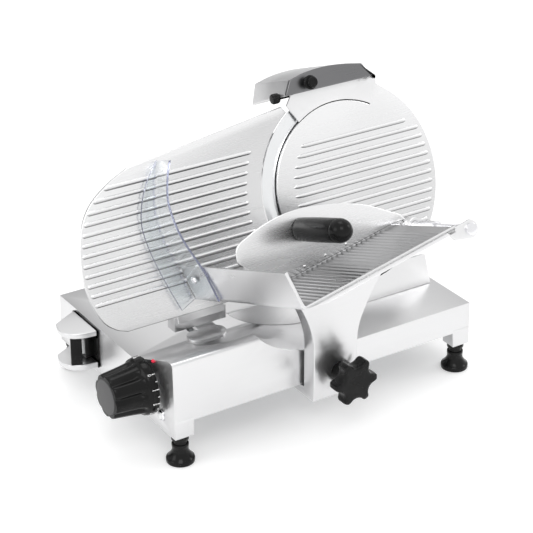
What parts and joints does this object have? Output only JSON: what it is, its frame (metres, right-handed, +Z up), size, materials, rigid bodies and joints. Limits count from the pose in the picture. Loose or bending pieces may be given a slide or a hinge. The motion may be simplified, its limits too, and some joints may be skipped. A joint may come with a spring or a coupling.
{
  "type": "deli meat slicer",
  "caption": "Gravity-feed deli slicer: leaning round blade, gauge plate, sliding tray with pusher and clear guard, thickness dial, sharpener on top and levelling feet.",
  "frame": {"origin": "middle of the whole machine's footprint, on the surface under the feet", "axes": "+X along the carriage travel away from the thickness dial, +Y from the operator's apron towards the slice side, +Z up"},
  "size_m": [0.5256, 0.441, 0.3844],
  "materials": {
    "abrasive": "bonded grit",
    "black_plastic": "moulded, gloss",
    "black_rubber": "moulded",
    "blade_steel": "ground and polished, ring marks",
    "board": "circuit board",
    "bronze": "sintered bush",
    "brushed_aluminium": "bright brushed sheet",
    "cast_aluminium": "satin anodised casting",
    "clear_plastic": "clear, tinted edges",
    "grey_plastic": "moulded",
    "motor_paint": "enamelled",
    "plain_steel": "turned or pressed steel",
    "polished_steel": "polished plated bar",
    "red_plastic": "moulded",
    "sharpener_casting": "satin casting",
    "tray_aluminium": "ribbed satin sheet",
    "white_plastic": "moulded",
    "zinc_sheet": "zinc-plated sheet"
  },
  "bodies": {
    "base": {"base_casting": "cast_aluminium", "base_plate": "zinc_sheet", "foot_1": "black_rubber", "foot_2": "black_rubber", "foot_3": "black_rubber", "foot_4": "black_rubber", "foot_studs": "plain_steel", "blade_housing": "cast_aluminium", "blade_bearings": "plain_steel", "motor_body": "motor_paint", "motor_cover": "cast_aluminium", "blade_cover": "brushed_aluminium", "cover_tie_screw": "plain_steel", "slice_deflector": "brushed_aluminium", "index_mark": "red_plastic", "lamp_bezel": "polished_steel", "pilot_lamp": "white_plastic", "switch_guard": "cast_aluminium", "switch_body": "black_plastic", "cable_gland": "black_plastic", "control_board": "board", "guide_rod": "polished_steel", "guide_bar": "plain_steel", "gauge_rod": "polished_steel", "sharpener_cover": "sharpener_casting", "sharpener_base": "cast_aluminium", "drive_belt": "black_rubber"},
    "blade_rotor": {"blade": "blade_steel", "blade_flange": "plain_steel", "blade_screws": "plain_steel", "blade_shaft": "plain_steel", "blade_pulley": "black_plastic"},
    "motor_rotor": {"motor_shaft": "plain_steel", "motor_pulley": "plain_steel", "motor_fan": "black_plastic"},
    "gauge": {"gauge_plate": "brushed_aluminium", "gauge_bracket": "cast_aluminium", "gauge_slide": "plain_steel"},
    "dial": {"thickness_knob": "black_plastic", "knob_cap": "grey_plastic", "knob_spindle": "plain_steel"},
    "carriage": {"carriage_slider": "cast_aluminium", "slider_bushes": "bronze", "guide_shoe": "white_plastic", "carriage_arm": "cast_aluminium", "tray": "tray_aluminium", "pusher_rod": "polished_steel", "hand_guard": "clear_plastic", "guard_screw": "plain_steel"},
    "star_clamp": {"star_knob": "black_plastic"},
    "pusher_slide": {"pusher_sleeve": "polished_steel"},
    "pusher": {"pusher_plate": "brushed_aluminium", "pusher_handle": "black_plastic"},
    "start_key": {"start_button": "white_plastic"},
    "stop_key": {"stop_button": "black_plastic"},
    "grinding_rod": {"grinding_plunger": "black_plastic"},
    "grinding_wheel": {"grinding_stone": "abrasive"},
    "deburring_rod": {"deburring_plunger": "black_plastic"},
    "deburring_wheel": {"deburring_stone": "abrasive"},
    "sharpener_clamp": {"sharpener_knob": "black_plastic"}
  },
  "joints": [
    {"name": "blade_spin", "type": "hinge", "parent": "base", "child": "blade_rotor", "pos_m": [0.12885, 0.04046, 0.23769], "axis": [0, -0.9336, 0.3584], "continuous": true},
    {"name": "motor_spin", "type": "hinge", "parent": "base", "child": "motor_rotor", "pos_m": [0.17915, 0.06035, 0.17789], "axis": [0, -0.9336, 0.3584], "continuous": true},
    {"name": "gauge_travel", "type": "slide", "parent": "base", "child": "gauge", "axis": [0, 1, 0], "range_m": [0, 0.015]},
    {"name": "dial_turn", "type": "hinge", "parent": "base", "child": "dial", "pos_m": [-0.20285, -0.0285, 0.0865], "axis": [1, 0, 0], "range_deg": [0, 300]},
    {"name": "carriage_travel", "type": "slide", "parent": "base", "child": "carriage", "axis": [1, 0, 0], "range_m": [-0.07, 0.155]},
    {"name": "star_turn", "type": "hinge", "parent": "carriage", "child": "star_clamp", "pos_m": [0.01415, -0.0865, 0.076], "axis": [0, -1, 0], "range_deg": [0, 720]},
    {"name": "pusher_travel", "type": "slide", "parent": "carriage", "child": "pusher_slide", "axis": [0, -0.9336, 0.3584], "range_m": [-0.103, 0.06]},
    {"name": "pusher_swing", "type": "hinge", "parent": "pusher_slide", "child": "pusher", "pos_m": [0.12515, 0.02157, 0.18849], "axis": [0, 0.9336, -0.3584], "range_deg": [0, 95]},
    {"name": "start_press", "type": "slide", "parent": "base", "child": "start_key", "axis": [1, 0, 0], "range_m": [0, 0.003], "stiffness_N_per_m": 600, "springref_m": -0.002},
    {"name": "stop_press", "type": "slide", "parent": "base", "child": "stop_key", "axis": [1, 0, 0], "range_m": [0, 0.003], "stiffness_N_per_m": 600, "springref_m": -0.002},
    {"name": "grinding_press", "type": "slide", "parent": "base", "child": "grinding_rod", "axis": [0, 0.9336, -0.3584], "range_m": [0, 0.006], "stiffness_N_per_m": 500, "springref_m": -0.004},
    {"name": "grinding_spin", "type": "hinge", "parent": "grinding_rod", "child": "grinding_wheel", "pos_m": [0.08815, 0.08966, 0.36587], "axis": [0, -0.9336, 0.3584], "continuous": true},
    {"name": "deburring_press", "type": "slide", "parent": "base", "child": "deburring_rod", "axis": [0, -0.9336, 0.3584], "range_m": [0, 0.006], "stiffness_N_per_m": 500, "springref_m": -0.004},
    {"name": "deburring_spin", "type": "hinge", "parent": "deburring_rod", "child": "deburring_wheel", "pos_m": [0.14215, 0.08987, 0.36643], "axis": [0, -0.9336, 0.3584], "continuous": true},
    {"name": "sharpener_clamp_turn", "type": "hinge", "parent": "base", "child": "sharpener_clamp", "pos_m": [0.04715, 0.09283, 0.3518], "axis": [1, 0, 0], "range_deg": [0, 720]}
  ],
  "couplings": [
    {"joint": "motor_spin", "follows": "blade_spin", "ratio": 3.04},
    {"joint": "dial_turn", "follows": "gauge_travel", "rad_per_m": 349.03}
  ]
}
